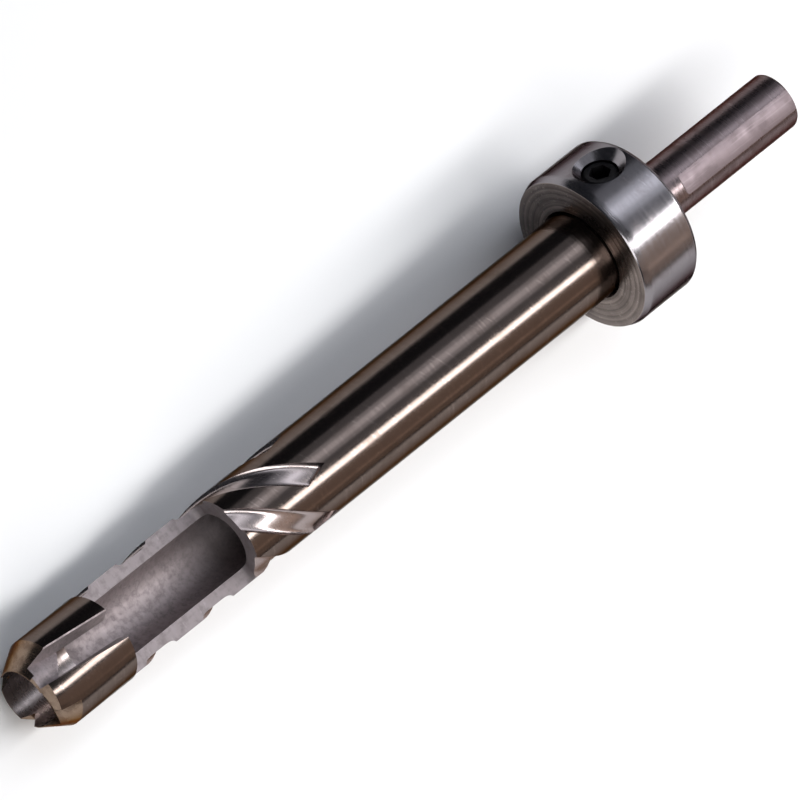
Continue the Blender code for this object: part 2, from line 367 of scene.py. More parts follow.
def mix_colors(tree, share, first, second):
    """Mixes two colours by a share; each colour is a socket or three numbers."""
    node = tree.nodes.new("ShaderNodeMix")
    node.data_type = "RGBA"
    link(tree, share, node.inputs["Factor"])
    for socket, value in ((node.inputs["A"], first), (node.inputs["B"], second)):
        if isinstance(value, bpy.types.NodeSocket):
            link(tree, value, socket)
        else:
            socket.default_value = (*value, 1.0)
    return node.outputs["Result"]


BUMP_HEIGHT = 0.000006     # depth of a tool mark at full strength
MARK_FADE = (0.42, 0.72)   # where the colour of the tool marks sets in and is full
MARK_COLOR = 0.35          # colour of the deepest marks, over that of the stains
SCRATCH_SHARE = 0.4        # how strongly the scratches show
SCRATCH_GAIN = 1.25        # how much brighter they are, over the metal's colour
SCRATCH_LIFT = 0.03        # and on top of that
STAIN_DULLING = 0.6        # roughness that the stains add, over the spread of the roughness


def metal(name, color, stain, roughness, spread, line_values, line_depth, stain_values, stain_share,
          scratch_values, lines="ground_lines", line_shade=0.0, painted_rim_shade=(1.0, 1.0, 1.0)):
    """A steel finish: tool marks, stains and scratches in colour, roughness and relief; its Specular Tint
    paints shade on the grazing reflections at the rims.
    """
    if name in bpy.data.materials:
        return bpy.data.materials[name]
    material = bpy.data.materials.new(name)
    material.use_nodes = True
    tree = material.node_tree
    shader = tree.nodes["Principled BSDF"]
    shader.inputs["Metallic"].default_value = 1.0
    # Specular Tint darkens the metal's reflections at grazing angles: painted shade on the rims, where they
    # mirror the pale floor
    shader.inputs["Specular Tint"].default_value = (*painted_rim_shade, 1.0)
    marks = group_node(tree, lines, line_values)
    patches = group_node(tree, "blotches", stain_values)
    scratches = group_node(tree, "scratches", scratch_values)
    share = math_node(tree, "MULTIPLY", patches, stain_share)
    tinted = mix_colors(tree, share, color, stain)
    if line_shade:
        steps = tree.nodes.new("ShaderNodeMapRange")
        steps.inputs["From Min"].default_value, steps.inputs["From Max"].default_value = MARK_FADE
        link(tree, marks, steps.inputs["Value"])
        shade = math_node(tree, "MULTIPLY", steps.outputs[0], line_shade)
        tinted = mix_colors(tree, shade, tinted, tuple(value * MARK_COLOR for value in stain))
    bright = tuple(min(1.0, value * SCRATCH_GAIN + SCRATCH_LIFT) for value in color)
    worn = math_node(tree, "MULTIPLY", scratches, SCRATCH_SHARE)
    link(tree, mix_colors(tree, worn, tinted, bright), shader.inputs["Base Color"])
    uneven = math_node(tree, "MULTIPLY", math_node(tree, "SUBTRACT", marks, 0.5), spread)
    dull = math_node(tree, "MULTIPLY", patches, spread * STAIN_DULLING)
    rough = math_node(tree, "ADD", math_node(tree, "ADD", uneven, roughness), dull)
    link(tree, rough, shader.inputs["Roughness"])
    height = math_node(tree, "SUBTRACT", math_node(tree, "MULTIPLY", marks, line_depth), worn)
    bump = tree.nodes.new("ShaderNodeBump")
    bump.inputs["Strength"].default_value = 1.0
    bump.inputs["Distance"].default_value = BUMP_HEIGHT
    link(tree, height, bump.inputs["Height"])
    link(tree, bump.outputs["Normal"], shader.inputs["Normal"])
    return material


def ground_steel():
    return metal("ground_steel", (0.175, 0.140, 0.125), (0.12, 0.092, 0.078), 0.13, 0.09,
                 line_values={"Lines per Metre": 3000.0, "Unevenness": 0.6}, line_depth=1.0,
                 stain_values={"Scale": 260.0, "From": 0.5, "To": 0.72}, stain_share=0.5,
                 scratch_values={"Along": 220.0, "Across": 4200.0, "Turn": 1.2}, line_shade=0.3,
                 painted_rim_shade=(0.28, 0.255, 0.24))


def fluted_steel():
    return metal("fluted_steel", (0.38, 0.33, 0.325), (0.27, 0.22, 0.205), 0.22, 0.08,
                 line_values={"Lines per Metre": 2600.0, "Unevenness": 0.6}, line_depth=0.6,
                 stain_values={"Scale": 300.0}, stain_share=0.3,
                 scratch_values={"Along": 200.0, "Across": 3800.0, "Turn": 0.64}, painted_rim_shade=(0.25, 0.19, 0.15))


def reamed_steel():
    return metal("reamed_steel", (0.33, 0.285, 0.275), (0.20, 0.165, 0.155), 0.24, 0.1,
                 line_values={"Lines per Metre": 3600.0, "Unevenness": 0.6}, line_depth=0.6,
                 stain_values={"Scale": 900.0, "From": 0.45, "To": 0.7}, stain_share=0.5,
                 scratch_values={"Along": 500.0, "Across": 4200.0, "Turn": 1.4})


def milled_steel():
    return metal("milled_steel", (0.30, 0.265, 0.27), (0.22, 0.19, 0.195), 0.5, 0.16,
                 line_values={"Lines per Metre": 1500.0, "Unevenness": 1.0}, line_depth=1.2,
                 stain_values={"Scale": 900.0}, stain_share=0.5,
                 scratch_values={"Along": 900.0, "Across": 3000.0, "Turn": 1.57})


def bored_steel():
    return metal("bored_steel", (0.34, 0.295, 0.30), (0.17, 0.145, 0.15), 0.48, 0.2,
                 line_values={"Lines per Metre": 1700.0, "Unevenness": 1.4}, line_depth=1.4,
                 stain_values={"Scale": 1500.0, "From": 0.40, "To": 0.70}, stain_share=0.45,
                 scratch_values={"Along": 1500.0, "Across": 1500.0, "Turn": 0.0})


def beveled_steel():
    return metal("beveled_steel", (0.25, 0.185, 0.14), (0.14, 0.095, 0.07), 0.2, 0.12,
                 line_values={"Lines per Metre": 3800.0, "Unevenness": 0.5}, line_depth=1.0,
                 stain_values={"Scale": 700.0, "From": 0.4, "To": 0.62}, stain_share=0.6,
                 scratch_values={"Along": 400.0, "Across": 5200.0, "Turn": 0.8}, painted_rim_shade=(0.3, 0.2, 0.14))


def flatted_steel():
    return metal("flatted_steel", (0.165, 0.135, 0.145), (0.12, 0.095, 0.10), 0.42, 0.14,
                 line_values={"Lines per Metre": 1800.0, "Unevenness": 0.8}, line_depth=0.8,
                 stain_values={"Scale": 380.0}, stain_share=0.4,
                 scratch_values={"Along": 160.0, "Across": 5200.0, "Turn": 0.02, "From": 0.6, "To": 0.68})


def gripped_steel():
    return metal("gripped_steel", (0.165, 0.132, 0.135), (0.10, 0.072, 0.068), 0.22, 0.14,
                 line_values={"Lines per Metre": 3200.0, "Unevenness": 0.8}, line_depth=0.8,
                 stain_values={"Scale": 420.0, "From": 0.45, "To": 0.7}, stain_share=0.5,
                 scratch_values={"Along": 4200.0, "Across": 260.0, "Turn": 0.0, "From": 0.6, "To": 0.68},
                 painted_rim_shade=(0.2, 0.15, 0.12))


def bright_zinc():
    return metal("bright_zinc", (0.25, 0.235, 0.247), (0.165, 0.14, 0.14), 0.16, 0.12,
                 line_values={"Lines per Metre": 3400.0, "Unevenness": 0.7}, line_depth=0.9,
                 stain_values={"Scale": 340.0, "From": 0.48, "To": 0.72}, stain_share=0.5,
                 scratch_values={"Along": 500.0, "Across": 3600.0, "Turn": 1.4}, painted_rim_shade=(0.10, 0.075, 0.065))


def faced_zinc():
    return metal("faced_zinc", (0.27, 0.225, 0.205), (0.15, 0.118, 0.105), 0.24, 0.16, lines="face_rings",
                 line_values={"Lines per Metre": 1500.0, "Unevenness": 0.25}, line_depth=4.0,
                 stain_values={"Scale": 240.0, "From": 0.42, "To": 0.7}, stain_share=0.5,
                 scratch_values={"Along": 600.0, "Across": 3000.0, "Turn": 0.0}, line_shade=0.75)


def blackened_steel():
    return metal("blackened_steel", (0.030, 0.029, 0.031), (0.012, 0.011, 0.012), 0.42, 0.14,
                 line_values={"Lines per Metre": 2600.0, "Unevenness": 1.0}, line_depth=0.8,
                 stain_values={"Scale": 900.0}, stain_share=0.6,
                 scratch_values={"Along": 900.0, "Across": 4000.0, "Turn": 0.7})


class PlugCutterSizes(bpy.types.PropertyGroup):
    """Sizes of the one-piece cutter."""
    barrel_radius: FloatProperty(name="Barrel Radius", description="Radius of the ground barrel",
                                 default=0.0047625, unit="LENGTH", precision=5)
    barrel_end: FloatProperty(name="Barrel End", description="Place of the shoulder before the shank",
                              default=0.0879, unit="LENGTH", precision=5)
    head_radius: FloatProperty(name="Head Radius", description="Radius over the teeth",
                               default=0.0049, unit="LENGTH", precision=5)
    head_length: FloatProperty(name="Head Length", description="Length of the cutting head",
                               default=0.0106, unit="LENGTH", precision=5)
    bore_radius: FloatProperty(name="Bore Radius", description="Radius of the plug that it cuts",
                               default=0.003175, unit="LENGTH", precision=5)
    bore_depth: FloatProperty(name="Bore Depth", description="Depth of the bore at its full width",
                              default=0.0335, unit="LENGTH", precision=5)
    bevel_length: FloatProperty(name="Bevel Length", description="Length of the ground bevel at the edge",
                                default=0.0029, unit="LENGTH", precision=5)
    window_length: FloatProperty(name="Window Length", description="Length of the ejection window",
                                 default=0.0173, unit="LENGTH", precision=5)
    flute_count: IntProperty(name="Flutes", description="Number of spiral flutes", default=5, min=2)
    flute_width: FloatProperty(name="Flute Width", description="Width of a flute round the barrel",
                               default=math.radians(38.0), subtype="ANGLE", unit="ROTATION")
    flute_depth: FloatProperty(name="Flute Depth", description="Depth of a flute",
                               default=0.00045, unit="LENGTH", precision=5)
    shank_radius: FloatProperty(name="Shank Radius", description="Radius of the drill shank",
                                default=0.003125, unit="LENGTH", precision=5)
    tool_length: FloatProperty(name="Length", description="Length over all",
                               default=0.1077, unit="LENGTH", precision=5)


class StopCollarSizes(bpy.types.PropertyGroup):
    """Sizes of the depth-stop collar and its set screw."""
    collar_front: FloatProperty(name="Collar Place", description="Where the collar is clamped",
                                default=0.0795, unit="LENGTH", precision=5)
    collar_width: FloatProperty(name="Collar Width", description="Width of the collar",
                                default=0.0075, unit="LENGTH", precision=5)
    collar_radius: FloatProperty(name="Collar Radius", description="Outer radius of the collar",
                                 default=0.00865, unit="LENGTH", precision=5)
    fit_gap: FloatProperty(name="Fit Gap", description="Clearance between collar and barrel",
                           default=0.0001, unit="LENGTH", precision=5)
    screw_radius: FloatProperty(name="Screw Radius", description="Radius of the set screw",
                                default=0.0018, unit="LENGTH", precision=5)
    screw_length: FloatProperty(name="Screw Length", description="Length of the set screw",
                                default=0.0028, unit="LENGTH", precision=5)


class StudioLooks(bpy.types.PropertyGroup):
    """Colours and levels of the studio."""
    floor_color: FloatVectorProperty(name="Floor Colour", description="Colour of the plain floor",
                                     default=(0.90, 0.90, 0.90), subtype="COLOR", min=0.0, max=1.0)
    sky_color: FloatVectorProperty(name="Room Colour", description="Colour of the dim room",
                                   default=(0.60, 0.66, 0.80), subtype="COLOR", min=0.0, max=1.0)
    sky_level: FloatProperty(name="Room Level", description="Strength of the room's own light", default=0.05)


# Details of the cutter, the collar and the set screw; angles in degrees
HEAD_STEP = 0.0003
POLISHED_BORE = 0.0085     # the bore is finely ground this far in
BARREL_CHAMFER = 0.0004
SHANK_CHAMFER = 0.0004
SHANK_END = 0.0006         # length of the shank's end with the finish of its round part
NEAR_WALL = 0.005          # facets this near the bore's radius, as a share of it, are its wall
NEAR_SHANK = 0.01          # and these the round part of the shank
POINT_FACING = 0.1         # facets at the bore's end, turned this much towards its mouth, are its cone
BEVEL_FACING = 0.4         # and those near the cutting edge, turned this much, its bevel
EDGE_LAND = 0.00008        # width of the flat cutting edge
DRILL_POINT = 118.0        # angle of the cone that ends the bore
WINDOW_FLOOR = 0.00008     # height of the window's rims over the axis
WINDOW_CORNER = 0.0010
BLUNT_BEVEL = (0.00055, 0.0004)   # end of the tooth beside the gullet: along the axis, below the head
BLUNT_RELIEF = 0.00185     # where the slight relief behind it runs out
BLUNT_SECTOR = (-19.0, 43.0)   # from here to here round the tool
# Each notch of the crown: its angle, its depth, the reach of its steep cutting face and of its sloping back
NOTCHES = (
    (88.0, 0.00128, 0.00015, 0.0034),
    (148.0, 0.00140, 0.00055, 0.0012),
    (236.0, 0.00130, 0.00090, 0.0009),
)
NOTCH_INNER = 0.0006       # a notch is cut from this far off the axis outwards
GULLET_HEEL = -38.0        # sides of the gullet in front of the window, at the cutting edge
GULLET_FACE = 2.3
GULLET_TWIST = 1480.0      # degrees for each metre
GULLET_SLOPE = 0.12        # fall of the gullet's floor towards the window, across over along
GULLET_BREAK_HEEL = 0.0046   # where the floor breaks into the bore, on either side
GULLET_BREAK_FACE = 0.0025
GULLET_CHAMFER = 0.00012   # worn edge along the heel of the gullet
GULLET_STEPS = 90
GULLET_FACETS = 12
FLUTE_PHASE = -23.4        # middle of one flute, at FLUTE_DATUM along the tool
FLUTE_DATUM = 0.0346
FLUTE_LEAD = 0.0404        # length of a whole turn
FLUTE_END = 0.0381
FLUTE_SKEW = -0.62         # slant of a flute's end, along the tool over across the flute
FLUTE_SQUARENESS = 6       # the higher, the flatter the floor and the steeper its sides
FLUTE_POINTS = 44
FLUTE_STEPS = 110
FLAT_COUNT = 3
FLAT_PHASE = 17.6          # middle of the first flat
FLAT_START = 0.0920
FLAT_DEPTH = 0.00021
FLAT_RUNOUT = 0.0005
COLLAR_FRONT_CHAMFER = (0.0008, 0.0003)   # along the tool, across it
COLLAR_BACK_CHAMFER = (0.0004, 0.0003)
COLLAR_BORE_CHAMFER = 0.00016
# How far the rounded corners of these chamfers reach before and behind the sharp ones
COLLAR_FACE_ROUND = ((0.0, -0.0001), (0.0002, 0.00006))
COLLAR_FRONT_ROUND = ((-0.00012, -0.00004), (0.00015, 0.0))
COLLAR_BACK_ROUND = ((-0.0001, 0.0), (0.0001, -0.00008))
FACING = 0.9               # faces turned this much along the tool have the facing cut
SCREW_PHASE = -42.5
SCREW_FROM_FRONT = 0.0041
SCREW_POINT = 0.0005       # chamfer of the set screw's point
SOCKET_ACROSS_FLATS = 0.0020
SOCKET_DEPTH = 0.0015
COUNTERSINK_RADIUS = 0.0025
COUNTERSINK_DEPTH = 0.0006
SMALL_SIDES = 64           # facets round the screw and its hole


def cutter_blank(sizes):
    """The turned and bored blank."""
    point = sizes.bore_radius / math.tan(math.radians(DRILL_POINT / 2))
    head = sizes.head_radius
    barrel = sizes.barrel_radius
    end = sizes.barrel_end
    shank = sizes.shank_radius
    length = sizes.tool_length
    edge = sizes.bore_radius + EDGE_LAND
    long_nose = ((sizes.bevel_length / 2, (edge + head) / 2), (sizes.bevel_length, head))
    profile = [
        (sizes.bore_depth + point, 0.0),
        (sizes.bore_depth, sizes.bore_radius),
        (POLISHED_BORE, sizes.bore_radius),
        (0.0, sizes.bore_radius),
        (0.0, edge),
        *long_nose,
        (sizes.head_length, head),
        (sizes.head_length + HEAD_STEP, barrel),
        (end - BARREL_CHAMFER, barrel),
        (end, barrel - BARREL_CHAMFER),
        (end, shank),
    ]
    profile += rounded((length, shank), (-SHANK_CHAMFER, 0.0), (0.0, -SHANK_CHAMFER), 4)
    profile.append((length, 0.0))
    blank = turned("plug_cutter_body", profile, ground_steel())
    blunt_nose = ((BLUNT_BEVEL[0], head - BLUNT_BEVEL[1]), (BLUNT_RELIEF, head))
    sector_start, sector_end = BLUNT_SECTOR
    open_piece(blank)
    for (x, radius), (blunt_x, blunt_radius) in zip(long_nose, blunt_nose):
        pick(blank, lambda place: abs(place.x - x) < MERGE and sector_start < angle_of(place) < sector_end)
        share = blunt_radius / radius
        bpy.ops.transform.resize(value=(1.0, share, share), center_override=(x, 0.0, 0.0))
        bpy.ops.transform.translate(value=(blunt_x - x, 0.0, 0.0))
    bpy.ops.mesh.select_all(action="SELECT")
    bpy.ops.mesh.vert_connect_nonplanar()
    close_piece()
    return blank


def box_tool(name, low, high, material):
    """A box between two corners, as a cutting tool."""
    middle = [(a + b) / 2 for a, b in zip(low, high)]
    size = [b - a for a, b in zip(low, high)]
    bpy.ops.object.select_all(action="DESELECT")
    bpy.ops.mesh.primitive_cube_add(size=1.0, location=middle, scale=size)
    return name_piece(name, material)


def round_low_edges(piece, low, offset, wanted, segments=8):
    """Rounds the chosen edges that cross the tool at the floor of a box tool."""
    open_piece(piece)
    bpy.ops.mesh.select_mode(type="EDGE")
    bm = bmesh.from_edit_mesh(piece.data)
    for edge in bm.edges:
        first, second = (vertex.co for vertex in edge.verts)
        across = abs(first.x - second.x) < MERGE and abs(first.z - second.z) < MERGE
        edge.select_set(across and abs(first.z - low) < MERGE and wanted(first))
    bmesh.update_edit_mesh(piece.data)
    bpy.ops.mesh.bevel(offset=offset, segments=segments, affect="EDGES")
    close_piece()


def window_tool(sizes):
    """Removes the upper half of the tube behind the head, with rounded inner corners."""
    reach = sizes.head_radius + BEYOND
    start = sizes.head_length
    end = start + sizes.window_length
    tool = box_tool("window_tool", (start, -reach, WINDOW_FLOOR), (end, reach, reach), milled_steel())
    round_low_edges(tool, WINDOW_FLOOR, WINDOW_CORNER, lambda place: True)
    return tool


def flat_tool(sizes, index):
    """One flat of the shank, with the radius of the milling cutter where it begins."""
    floor = sizes.shank_radius - FLAT_DEPTH
    start = FLAT_START - FLAT_RUNOUT
    reach = sizes.shank_radius
    low = (start, -reach, floor)
    high = (sizes.tool_length + BEYOND, reach, floor + BEYOND)
    tool = box_tool("flat_tool", low, high, flatted_steel())
    round_low_edges(tool, floor, FLAT_RUNOUT, lambda place: place.x < start + MERGE, 5)
    turn_round_axis(tool, FLAT_PHASE + 360.0 / FLAT_COUNT * index)
    return tool


def notch_tool(sizes, index):
    """One notch of the crown: a block drawn in to a V, steep on its cutting side."""
    phase, depth, face, back = NOTCHES[index]
    outer = sizes.head_radius + BEYOND
    spread = (depth + BEYOND) / depth
    tool = box_tool("notch_tool", (-BEYOND, -face * spread, NOTCH_INNER), (depth, back * spread, outer),
                    beveled_steel())
    open_piece(tool)
    pick(tool, lambda place: place.x > 0.0)
    bpy.ops.transform.resize(value=(1.0, 0.0, 1.0), center_override=(depth, 0.0, 0.0))
    close_piece()
    weld(tool)
    turn_round_axis(tool, phase)
    return tool


def gullet_floor(sizes, share, x):
    """Radius of the gullet's floor: it falls towards the window, first on the side of the cutting face."""
    breaks_at = GULLET_BREAK_HEEL + (GULLET_BREAK_FACE - GULLET_BREAK_HEEL) * share
    return sizes.bore_radius + GULLET_SLOPE * (breaks_at - x)


def gullet_tool(sizes):
    """The gullet: a sector spun from one radial line, then drawn along the tool with a twist.

    The line is bent at the head's surface, which leaves a worn edge along the heel.
    """
    outside = sizes.head_radius + BEYOND
    start = -BEYOND / 2
    end = sizes.head_length + WINDOW_CORNER
    heel = GULLET_HEEL + GULLET_TWIST * start
    width = GULLET_FACE - GULLET_HEEL
    floor = gullet_floor(sizes, 0.0, start)
    bend = sizes.head_radius - GULLET_CHAMFER
    bpy.ops.object.select_all(action="DESELECT")
    bpy.ops.mesh.primitive_plane_add(size=floor)
    tool = name_piece("gullet_tool", bored_steel())
    open_piece(tool)
    bpy.ops.mesh.select_all(action="SELECT")
    bpy.ops.mesh.merge(type="CENTER")
    bpy.ops.transform.translate(value=around(floor, heel, start))
    for last_radius, radius in ((floor, bend), (bend, outside)):
        step = around(radius - last_radius, heel)
        bpy.ops.mesh.extrude_vertices_move(TRANSFORM_OT_translate={"value": step})
    bpy.ops.mesh.select_all(action="SELECT")
    bpy.ops.mesh.spin(steps=GULLET_FACETS, angle=-math.radians(width),
                      center=(start, 0.0, 0.0), axis=(1.0, 0.0, 0.0))
    near = floor * 0.01
    for part in spaced(0.0, 1.0, GULLET_FACETS)[1:]:
        place = around(floor, heel + width * part, start)
        pick(tool, lambda vertex: (vertex - place).length < near)
        share = gullet_floor(sizes, part, start) / floor
        bpy.ops.transform.resize(value=(1.0, share, share), center_override=(start, 0.0, 0.0))
    rim = around(outside, heel, start)
    pick(tool, lambda vertex: (vertex - rim).length < near)
    bpy.ops.transform.translate(value=around(outside - bend, heel - 90.0))
    bpy.ops.mesh.select_all(action="SELECT")
    stations = spaced(start, end, GULLET_STEPS)
    for last_x, x in zip(stations, stations[1:]):
        bpy.ops.mesh.extrude_region_move(TRANSFORM_OT_translate={"value": (x - last_x, 0.0, 0.0)})
        bpy.ops.transform.rotate(value=-math.radians(GULLET_TWIST * (x - last_x)), orient_axis="X",
                                 center_override=(x, 0.0, 0.0))
        share = gullet_floor(sizes, 0.5, x) / gullet_floor(sizes, 0.5, last_x)
        limit = (gullet_floor(sizes, 0.0, last_x) + bend) / 2
        pick(tool, lambda place: abs(place.x - x) < MERGE and place.yz.length < limit)
        bpy.ops.transform.resize(value=(1.0, share, share), center_override=(x, 0.0, 0.0))
        pick(tool, lambda place: abs(place.x - x) < MERGE)
    bpy.ops.mesh.select_all(action="SELECT")
    bpy.ops.mesh.quads_convert_to_tris()
    close_piece()
    weld(tool)
    return tool


def flute_tool(sizes, index):
    """One shallow right-hand flute of even depth, swept along its helix and ended askew."""
    degrees_per_metre = 360.0 / FLUTE_LEAD
    helix = math.atan(2 * math.pi * sizes.barrel_radius / FLUTE_LEAD)
    half = sizes.barrel_radius * math.sin(sizes.flute_width / 2) * math.cos(helix)
    bend = math.cos(helix) ** 2 / (2 * sizes.barrel_radius)
    start = sizes.head_length + 2 * HEAD_STEP
    angle = FLUTE_PHASE + 360.0 / sizes.flute_count * index + degrees_per_metre * (start - FLUTE_DATUM)
    outward = around(1.0, angle)
    across = around(1.0, angle + 90.0)
    forward = Vector((math.cos(helix), 0.0, 0.0)) + across * math.sin(helix)
    sideways = forward.cross(outward)
    place = Matrix((outward, sideways, forward)).transposed().to_4x4()
    place.translation = around(sizes.barrel_radius, angle, start)
    bpy.ops.object.select_all(action="DESELECT")
    bpy.ops.mesh.primitive_circle_add(vertices=FLUTE_POINTS, radius=half)
    tool = bpy.context.object
    floor_points = FLUTE_POINTS - 2
    sides = [-math.cos(math.pi * point / (floor_points - 1)) for point in range(floor_points)] + [1.0, -1.0]
    for vertex, side in zip(tool.data.vertices, sides):
        depth = sizes.flute_depth * (1 - abs(side) ** FLUTE_SQUARENESS) + bend * (side * half) ** 2
        height = -depth if vertex.index < floor_points else BEYOND
        vertex.co = (height, side * half, 0.0)
    tool.matrix_world = place
    name_piece("flute_tool", fluted_steel())
    length = FLUTE_END - start
    sweep = tool.modifiers.new("sweep", "SCREW")
    sweep.axis = "X"
    sweep.angle = math.radians(degrees_per_metre * length)
    sweep.screw_offset = length
    sweep.steps = FLUTE_STEPS
    sweep.render_steps = FLUTE_STEPS
    sweep.use_merge_vertices = False
    bpy.ops.object.modifier_apply(modifier=sweep.name)
    bpy.ops.object.transform_apply(location=True, rotation=True, scale=True)
    for vertex in tool.data.vertices:
        ring, point = divmod(vertex.index, FLUTE_POINTS)
        shift = sides[point] * half * FLUTE_SKEW * (ring / FLUTE_STEPS) ** 2
        turn = Matrix.Rotation(math.radians(degrees_per_metre * shift), 4, "X")
        vertex.co = turn @ vertex.co + Vector((shift, 0.0, 0.0))
    open_piece(tool)
    bpy.ops.mesh.select_mode(type="EDGE")
    bpy.ops.mesh.select_non_manifold(extend=False)
    bpy.ops.mesh.edge_face_add()
    close_piece()
    weld(tool)
    return tool


def screw_place():
    """Stands a tool that was modelled along X on the axis of the screw hole, facing outward."""
    sizes = bpy.context.scene.stop_collar_sizes
    stand = Matrix.Rotation(math.radians(-90.0), 4, "Y")
    place = Matrix.Translation((sizes.collar_front + SCREW_FROM_FRONT, 0.0, 0.0))
    return place @ Matrix.Rotation(math.radians(SCREW_PHASE), 4, "X") @ stand


class OBJECT_OT_plug_cutter_body(bpy.types.Operator):
    """Turns, bores, flutes and mills the one-piece cutter"""
    bl_idname = "object.plug_cutter_body"
    bl_label = "Cutter"

    def execute(self, context):
        sizes = context.scene.plug_cutter_sizes
        cutter = cutter_blank(sizes)
        subtract(cutter, window_tool(sizes))
        subtract(cutter, gullet_tool(sizes))
        for index in range(len(NOTCHES)):
            subtract(cutter, notch_tool(sizes, index))
        for index in range(FLAT_COUNT):
            subtract(cutter, flat_tool(sizes, index))
        for index in range(sizes.flute_count):
            subtract(cutter, flute_tool(sizes, index))
        self.finish_faces(cutter, sizes)
        lay_in_place(cutter)
        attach(cutter, "root")
        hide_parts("cutter")
        return {"FINISHED"}

    def finish_faces(self, cutter, sizes):
        """Gives the bore, the ground bevel and the shank their own finishes."""
        bore = sizes.bore_radius
        shank = sizes.shank_radius

        def on_bore_wall(middle, normal):
            inward = normal.yz.dot(middle.yz) < 0.0
            return inward and abs(middle.yz.length - bore) < bore * NEAR_WALL

        def in_bore(middle, normal):
            on_cone = middle.x > sizes.bore_depth and middle.yz.length < bore and normal.x < -POINT_FACING
            return on_cone or middle.x > POLISHED_BORE and on_bore_wall(middle, normal)

        def in_mouth(middle, normal):
            return middle.x < POLISHED_BORE and on_bore_wall(middle, normal)

        def on_bevel(middle, normal):
            return middle.x < sizes.bevel_length and normal.x < -BEVEL_FACING and middle.yz.length > bore

        def on_shank(middle, normal):
            on_round = middle.x > sizes.barrel_end and middle.yz.length > shank * (1 - NEAR_SHANK)
            return on_round or middle.x > sizes.tool_length - SHANK_END

        for finish, wanted in ((bored_steel, in_bore), (gripped_steel, on_shank), (reamed_steel, in_mouth),
                               (beveled_steel, on_bevel)):
            dress(cutter, finish(), wanted)


class OBJECT_OT_stop_collar(bpy.types.Operator):
    """Turns the stop collar and sinks its screw hole"""
    bl_idname = "object.stop_collar_piece"
    bl_label = "Stop Collar"

    def execute(self, context):
        sizes = context.scene.stop_collar_sizes
        barrel = context.scene.plug_cutter_sizes.barrel_radius
        bore = barrel + sizes.fit_gap
        front = sizes.collar_front
        back = front + sizes.collar_width
        radius = sizes.collar_radius
        front_along, front_across = COLLAR_FRONT_CHAMFER
        back_along, back_across = COLLAR_BACK_CHAMFER
        chamfer = COLLAR_BORE_CHAMFER
        profile = [(front + chamfer, bore), (front, bore + chamfer)]
        for corner, reach in (((front, radius - front_across), COLLAR_FACE_ROUND),
                              ((front + front_along, radius), COLLAR_FRONT_ROUND),
                              ((back - back_along, radius), COLLAR_BACK_ROUND)):
            profile += rounded(corner, *reach, 3)
        profile += [(back, radius - back_across), (back, bore + chamfer), (back - chamfer, bore)]
        profile.append(profile[0])
        collar = turned("stop_collar_body", profile, bright_zinc())
        subtract(collar, self.screw_hole_tool(sizes, barrel))
        dress(collar, faced_zinc(), lambda middle, normal: abs(normal.x) > FACING)
        lay_in_place(collar)
        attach(collar, "root")
        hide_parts("stop_collar")
        return {"FINISHED"}

    def screw_hole_tool(self, sizes, barrel):
        """The tapped hole with its countersink."""
        hole = sizes.screw_radius + sizes.fit_gap
        rim = math.sqrt(sizes.collar_radius ** 2 - COUNTERSINK_RADIUS ** 2)
        sink_from = rim - COUNTERSINK_DEPTH
        slope = (COUNTERSINK_RADIUS - hole) / COUNTERSINK_DEPTH
        bottom = barrel / 2
        top = sizes.collar_radius + BEYOND
        profile = [
            (bottom, 0.0),
            (bottom, hole),
            (sink_from, hole),
            (top, hole + slope * (top - sink_from)),
            (top, 0.0),
        ]
        tool = turned("screw_hole_tool", profile, bright_zinc(), SMALL_SIDES)
        settle(tool, screw_place())
        return tool


class OBJECT_OT_set_screw(bpy.types.Operator):
    """Turns the set screw and sinks its hexagonal socket"""
    bl_idname = "object.set_screw_piece"
    bl_label = "Set Screw"

    def execute(self, context):
        sizes = context.scene.stop_collar_sizes
        point = context.scene.plug_cutter_sizes.barrel_radius + sizes.fit_gap
        top = point + sizes.screw_length
        rim = SCREW_POINT / 2
        profile = [
            (point, 0.0),
            (point, sizes.screw_radius - SCREW_POINT),
            (point + SCREW_POINT, sizes.screw_radius),
            (top - rim, sizes.screw_radius),
            (top, sizes.screw_radius - rim),
            (top, 0.0),
        ]
        screw = turned("set_screw_body", profile, blackened_steel(), SMALL_SIDES)
        corner = SOCKET_ACROSS_FLATS / math.sqrt(3.0)
        socket_profile = [
            (top - SOCKET_DEPTH, 0.0),
            (top - SOCKET_DEPTH, corner),
            (top + BEYOND, corner),
            (top + BEYOND, 0.0),
        ]
        subtract(screw, turned("socket_tool", socket_profile, blackened_steel(), 6))
        settle(screw, screw_place())
        lay_in_place(screw)
        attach(screw, "root")
        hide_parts("set_screw")
        return {"FINISHED"}


# Picture: the camera looks down on the tool, from the side of its cutting end
CAMERA_LEAN = 30.0         # how far the tool's axis leans out of the picture towards the camera
CAMERA_ROLL = 38.6         # how far its picture rises to the right
VIEW_WIDTH = 0.0777        # what the picture takes in, at the middle of the tool
VIEW_MIDDLE = 0.0533       # the point of the axis that is in the middle of the picture
CAMERA_DISTANCE = 2.8
SENSOR = 36.0
FLOOR_SIZE = 6.0


def camera_axes():
    """The camera's right, up and back directions, in the tool's own axes."""
    lean = math.radians(CAMERA_LEAN)
    roll = math.radians(CAMERA_ROLL)
    along = Vector((math.cos(lean), 0.0, math.sin(lean)))
    across = Vector((0.0, -1.0, 0.0))
    back = Vector((-math.sin(lean), 0.0, math.cos(lean)))
    right = along * math.cos(roll) + across * math.sin(roll)
    up = along * math.sin(roll) - across * math.cos(roll)
    return right, up, back


